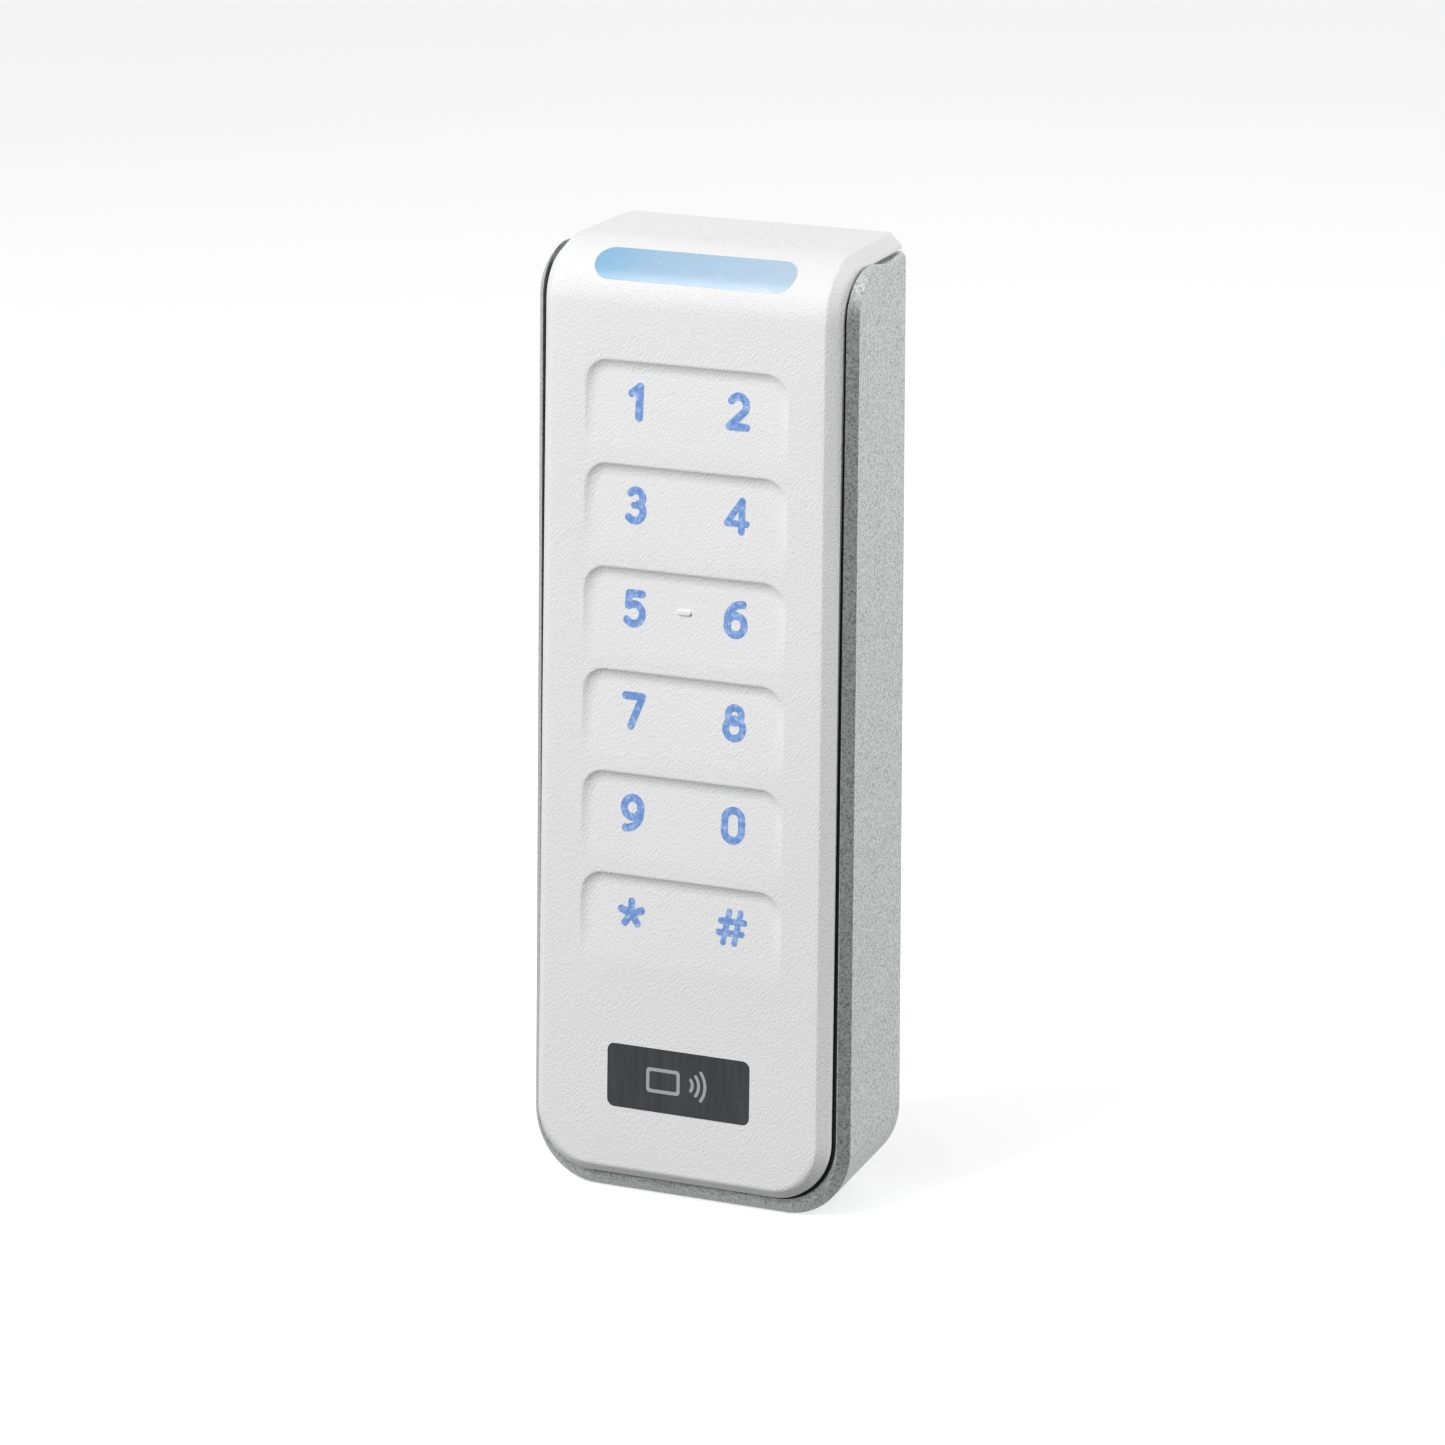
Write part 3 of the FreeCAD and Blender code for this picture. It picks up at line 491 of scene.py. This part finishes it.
def top_half(y):
    """Half width of the cover's top, narrowing towards the wall."""
    rearward = max(0.0, (y + TAPER_DEPTH) / TAPER_DEPTH)
    return COVER_HALF + (COVER_HALF_REAR - COVER_HALF) * rearward


def outline_distance(x, z):
    """Distance in from the outline in front view."""
    across = abs(x) - (COVER_HALF - COVER_CORNER)
    down = COVER_BOTTOM + COVER_CORNER - z
    if across > 0 and down > 0:
        return COVER_CORNER - math.hypot(across, down)
    return COVER_CORNER - max(across, down)


def spaced(start, end, step):
    """Even places from start up to, but not at, end."""
    count = max(1, round(abs(end - start) / step))
    return [start + (end - start) * index / count for index in range(count)]


def face_rows():
    """Heights of the skin's rows up the flat face, closer together where it bends."""
    rows = []
    for index in range(CORNER_STEPS):
        angle = math.pi / 2 * index / CORNER_STEPS
        rows.append(COVER_BOTTOM + COVER_CORNER * (1 - math.cos(angle)))
    level = COVER_BOTTOM + COVER_CORNER
    for row in range(ROWS - 1, -1, -1):
        centre = TOP_ROW_Z - ROW_PITCH * row
        bottom = centre - POCKET_BELOW
        bend = centre + POCKET_ABOVE - POCKET_BEND
        rows += spaced(level, bottom, ROW_STEP)
        if row == DASH_ROW:
            dash_low = centre - DASH_ZONE_BELOW
            dash_high = centre + DASH_ZONE_ABOVE
            rows += spaced(bottom, dash_low, ROW_STEP)
            rows += spaced(dash_low, dash_high, ROW_STEP_DASH)
            rows += spaced(dash_high, bend, ROW_STEP_TOP)
        else:
            rows += spaced(bottom, bend, ROW_STEP)
        level = centre + POCKET_ABOVE + POCKET_MARGIN
        rows += spaced(bend, level, ROW_STEP_FINE)
    roll_start = roll_centre()[1]
    return rows + spaced(level, roll_start, ROW_STEP_TOP) + [roll_start]


def columns():
    """Places across the skin, closer together at the pockets' sides and where the chamfer starts."""
    pocket_start = POCKET_HALF - POCKET_SIDE
    pocket_end = POCKET_HALF + POCKET_MARGIN
    edge = COVER_HALF - CHAMFER_TOP - EDGE_SOFT
    right = spaced(0.0, DASH_ZONE_SIDE, COLUMN_STEP_DASH)
    right += spaced(DASH_ZONE_SIDE, pocket_start, COLUMN_STEP_INNER)
    right += spaced(pocket_start, pocket_end, COLUMN_STEP_POCKET)
    right += spaced(pocket_end, edge, COLUMN_STEP_OUTER)
    right += spaced(edge, edge + 2 * EDGE_SOFT, EDGE_SOFT / 2)
    right += spaced(edge + 2 * EDGE_SOFT, edge + 3 * EDGE_SOFT, EDGE_SOFT)
    right += spaced(edge + 3 * EDGE_SOFT, COVER_HALF, COLUMN_STEP_EDGE) + [COVER_HALF]
    return [-x for x in reversed(right[1:])] + right


def place_column(x, half, z):
    """Moves the columns beside the edge so that they follow the chamfer as it narrows."""
    fixed = COVER_HALF - POCKET_HALF - POCKET_MARGIN
    zone = CHAMFER_TOP + EDGE_SOFT
    now = chamfer_size(z) + EDGE_SOFT
    inside = COVER_HALF - abs(x)
    if inside < zone:
        inside = now + (inside - zone) * chamfer_size(z) / CHAMFER_TOP
        inside = max(0.0, inside)
        if abs(x) == COVER_HALF:
            inside = 0.0
    elif inside < fixed:
        inside = now + (inside - zone) * (fixed - now) / (fixed - zone)
    return math.copysign(COVER_HALF - inside, x) * half / COVER_HALF


def face_row(across, z):
    """One row of the skin across the sloping face, with its pockets and dash."""
    half = outline_half(z)
    row = []
    for x in across:
        px = place_column(x, half, z)
        distance = max(0.0, outline_distance(px, z))
        sunk = chamfer_depth(distance, z) + pocket_depth(px, z) - dash_height(px, z)
        row.append(Vector((px, face_y(z) + sunk + SKIN_DROP, z)))
    return row


def roll_row(across, centre_y, centre_z, angle):
    """One row round the roll, at an angle up from straight ahead."""
    y = centre_y - ROLL * math.cos(angle)
    half = top_half(y)
    row = []
    for x in across:
        px = x * half / COVER_HALF
        reach = ROLL - chamfer_depth(half - abs(px), HALF) - SKIN_DROP
        row.append(Vector((px, centre_y - reach * math.cos(angle), centre_z + reach * math.sin(angle))))
    return row


def top_row(across, y):
    """One row across the sloping top."""
    half = top_half(y)
    row = []
    for x in across:
        px = x * half / COVER_HALF
        depth = chamfer_depth(half - abs(px), HALF) + SKIN_DROP
        row.append(Vector((px, y, TOP_WALL_Z + TOP_SLOPE * y - depth)))
    return row


def skin_rows():
    """Every row of the skin as a list of points in millimetres, bottom to top rear."""
    across = columns()
    grid = [face_row(across, z) for z in face_rows()]
    centre_y, centre_z = roll_centre()
    start = math.atan(FACE_SLOPE)
    end = math.pi / 2 - math.atan(TOP_SLOPE)
    for step in range(1, ROLL_STEPS + 1):
        angle = start + (end - start) * step / ROLL_STEPS
        grid.append(roll_row(across, centre_y, centre_z, angle))
    last_y = centre_y - ROLL * math.cos(end)
    for step in range(1, TOP_STEPS + 1):
        grid.append(top_row(across, last_y + (LIP_REAR_Y - last_y) * step / TOP_STEPS))
    return grid


def new_object(name, mesh_maker):
    mesh = bpy.data.meshes.new(name)
    built = bmesh.new()
    mesh_maker(built)
    bmesh.ops.recalc_face_normals(built, faces=built.faces)
    built.to_mesh(mesh)
    built.free()
    thing = bpy.data.objects.new(name, mesh)
    bpy.context.scene.collection.objects.link(thing)
    return thing


def apply_modifiers(thing):
    bpy.context.view_layer.update()
    graph = bpy.context.evaluated_depsgraph_get()
    mesh = bpy.data.meshes.new_from_object(thing.evaluated_get(graph))
    thing.modifiers.clear()
    thing.data = mesh


def cover_skin():
    """The cover's outer surface with its side skirt, given a wall thickness."""
    grid = skin_rows()
    centre_y, centre_z = roll_centre()

    def side_drop(point):
        """The step from the outline back along the cover's short side wall."""
        lip = SIDE_DEPTH - chamfer_size(point.z)
        if point.z <= centre_z:
            return Vector((0, lip, 0))
        if point.y < centre_y:
            inward = Vector((0, centre_y - point.y, centre_z - point.z))
            return inward.normalized() * lip
        return Vector((0, 0, -lip))

    def build(built):
        rows = []
        for points in grid:
            drop = side_drop(points[-1])
            ends = [points[0] + drop] + list(points) + [points[-1] + drop]
            rows.append([built.verts.new(point * MM) for point in ends])
        back = Vector((0, (SIDE_DEPTH - CHAMFER_BOTTOM) * MM, 0))
        first = rows[0]
        bottom = [first[0]] + [built.verts.new(v.co + back) for v in first[1:-1]] + [first[-1]]
        rows.insert(0, bottom)
        for low, high in zip(rows, rows[1:]):
            for index in range(len(low) - 1):
                corners = (low[index], low[index + 1], high[index + 1], high[index])
                built.faces.new(list(dict.fromkeys(corners)))
        bmesh.ops.remove_doubles(built, verts=built.verts, dist=WELD_DISTANCE)

    skin = new_object("cover_skin", build)
    wall = skin.modifiers.new("wall", "SOLIDIFY")
    wall.thickness = SKIN_WALL * MM
    wall.offset = -1
    return skin


def rounded_outline(half_w, half_h, radius, steps=8):
    """A rectangle's outline with round corners, as (x, z) points."""
    points = []
    for turn in range(4):
        sx = 1 if turn in (0, 3) else -1
        sz = 1 if turn in (0, 1) else -1
        for step in range(steps + 1):
            angle = math.pi / 2 * (turn + step / steps)
            x = sx * (half_w - radius) + radius * math.cos(angle)
            z = sz * (half_h - radius) + radius * math.sin(angle)
            points.append((x, z))
    return points


def badge_cutter():
    """A rounded block that opens the skin where the badge sits."""
    outline = rounded_outline(BADGE_HALF_W, BADGE_HALF_H, BADGE_CORNER)

    def ring(built, y):
        return [built.verts.new(Vector((x, y, z + BADGE_Z)) * MM) for x, z in outline]

    def build(built):
        front = ring(built, CUTTER_FRONT_Y)
        rear = ring(built, CUTTER_REAR_Y)
        for index in range(len(outline)):
            following = (index + 1) % len(outline)
            built.faces.new((front[index], front[following], rear[following], rear[index]))
        built.faces.new(front)
        built.faces.new(rear)

    return new_object("badge_cutter", build)


def finish_cover():
    """Opens the skin for the badge and lets it stand for the front cover."""
    skin = cover_skin()
    cutter = badge_cutter()
    hole = skin.modifiers.new("badge_hole", "BOOLEAN")
    hole.object = cutter
    hole.operation = "DIFFERENCE"
    hole.solver = "EXACT"
    apply_modifiers(skin)
    bpy.data.objects.remove(cutter)
    for polygon in skin.data.polygons:
        polygon.use_smooth = True
    skin.data.set_sharp_from_angle(angle=SHARP_ANGLE)
    skin.data.materials.clear()
    skin.data.materials.append(materials["cover_white"])
    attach(skin, "reader")
    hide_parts("front_cover")


finish_cover()


# ---- floor, light and camera ----
# how bright the surroundings are: level, below the horizon and overhead
AMBIENT = 0.88
BELOW_FRONT = 0.2
BELOW_BEHIND = 0.56
ZENITH_LEVEL = 0.3
# a dark card that gives the right side its shade
FLAG_DIRECTION = (0.86, -0.5, 0.1)
FLAG_LEVEL = 0.15

# each soft light: name, place, aim, side in metres, power in watts
LIGHTS = (
    ("key_light", (-0.2, -0.55, 0.42), (0, 0, 0.02), 0.35, 3.7),
    ("top_light", (-0.05, -0.12, 0.7), (0, 0, 0), 0.35, 0.15),
    ("right_light", (0.8, 0.35, 0.25), (0, 0, 0.01), 0.5, 4.2),
)

FLOOR_SIZE = 8.0
FLOOR_GLOW = 0.4

# the camera's bearing, and the point that it looks at, in millimetres
FOCAL_LENGTH = 178.66
SENSOR_WIDTH = 36.0
AZIMUTH = math.radians(28.836)
ELEVATION = math.radians(12.456)
CAMERA_ROLL = math.radians(0.12)
CAMERA_DISTANCE = 894.723
CAMERA_AIM = (0.068, -10.0, 59.687 - HALF)


def area_light(name, place, target, side, power):
    data = bpy.data.lights.new(name, "AREA")
    data.shape = "RECTANGLE"
    data.size = side
    data.size_y = side
    data.energy = power
    lamp = bpy.data.objects.new(name, data)
    lamp.location = place
    lamp.rotation_euler = (Vector(target) - Vector(place)).to_track_quat("-Z", "Y").to_euler()
    bpy.context.scene.collection.objects.link(lamp)


def studio_floor():
    bpy.ops.mesh.primitive_plane_add(size=FLOOR_SIZE, location=(0, 0, -HALF * MM))
    floor = bpy.context.object
    floor.name = "studio_floor"
    nodes = Nodes("studio_floor")
    pale = (0.93, 0.93, 0.93)
    paler = (0.96, 0.96, 0.96)
    nodes.colour(nodes.ramp(nodes.noise(3.0), ((0.3, pale), (0.7, paler))))
    nodes.value("Roughness", 0.9)
    nodes.value("Specular IOR Level", 0.1)
    nodes.value("Emission Color", (1, 1, 1, 1))
    nodes.value("Emission Strength", FLOOR_GLOW)
    floor.data.materials.append(nodes.material)
    floor.visible_diffuse = False
    floor.visible_glossy = False


def world_range(tree, source, given, wanted):
    """A smooth step between two levels along one direction of the surroundings."""
    node = tree.nodes.new("ShaderNodeMapRange")
    node.interpolation_type = "SMOOTHSTEP"
    node.inputs["From Min"].default_value = given[0]
    node.inputs["From Max"].default_value = given[1]
    node.inputs["To Min"].default_value = wanted[0]
    node.inputs["To Max"].default_value = wanted[1]
    tree.links.new(source, node.inputs["Value"])
    return node.outputs["Result"]


def world_math(tree, operation, first, second):
    node = tree.nodes.new("ShaderNodeMath")
    node.operation = operation
    tree.links.new(first, node.inputs[0])
    tree.links.new(second, node.inputs[1])
    return node.outputs["Value"]


def surroundings():
    """Soft white surroundings: dimmer below and overhead, with a dark card at the right."""
    world = bpy.data.worlds.new("studio")
    bpy.context.scene.world = world
    world.use_nodes = True
    tree = world.node_tree
    background = tree.nodes["Background"]
    direction = tree.nodes.new("ShaderNodeTexCoord").outputs["Generated"]
    split = tree.nodes.new("ShaderNodeSeparateXYZ")
    tree.links.new(direction, split.inputs["Vector"])
    below = world_range(tree, split.outputs["Y"], (-0.5, 0.6), (BELOW_FRONT, BELOW_BEHIND))
    height = world_range(tree, split.outputs["Z"], (-0.3, 0.45), (BELOW_FRONT, AMBIENT))
    tree.links.new(below, height.node.inputs["To Min"])
    zenith = world_range(tree, split.outputs["Z"], (0.35, 1.0), (1.0, ZENITH_LEVEL))
    aim = tree.nodes.new("ShaderNodeVectorMath")
    aim.operation = "DOT_PRODUCT"
    tree.links.new(direction, aim.inputs[0])
    aim.inputs[1].default_value = FLAG_DIRECTION
    flag = world_range(tree, aim.outputs["Value"], (0.55, 0.95), (1.0, FLAG_LEVEL))
    light = world_math(tree, "MULTIPLY", height, flag)
    overhead = world_math(tree, "MULTIPLY", light, zenith)
    seen = tree.nodes.new("ShaderNodeLightPath").outputs["Is Camera Ray"]
    strength = world_math(tree, "MAXIMUM", overhead, seen)
    background.inputs["Color"].default_value = (1, 1, 1, 1)
    tree.links.new(strength, background.inputs["Strength"])


def camera():
    flat = math.cos(ELEVATION)
    back = Vector((flat * math.sin(AZIMUTH), -flat * math.cos(AZIMUTH), math.sin(ELEVATION)))
    place = (Vector(CAMERA_AIM) + back * CAMERA_DISTANCE) * MM
    data = bpy.data.cameras.new("camera")
    data.lens = FOCAL_LENGTH
    data.sensor_width = SENSOR_WIDTH
    data.clip_start = 0.05
    data.clip_end = 50.0
    eye = bpy.data.objects.new("camera", data)
    turn = back.to_track_quat("Z", "Y").to_matrix().to_4x4()
    eye.matrix_world = Matrix.Translation(place) @ turn @ Matrix.Rotation(CAMERA_ROLL, 4, "Z")
    bpy.context.scene.collection.objects.link(eye)
    bpy.context.scene.camera = eye


studio_floor()
surroundings()
for light in LIGHTS:
    area_light(*light)
camera()
bpy.context.scene.view_settings.view_transform = "Standard"
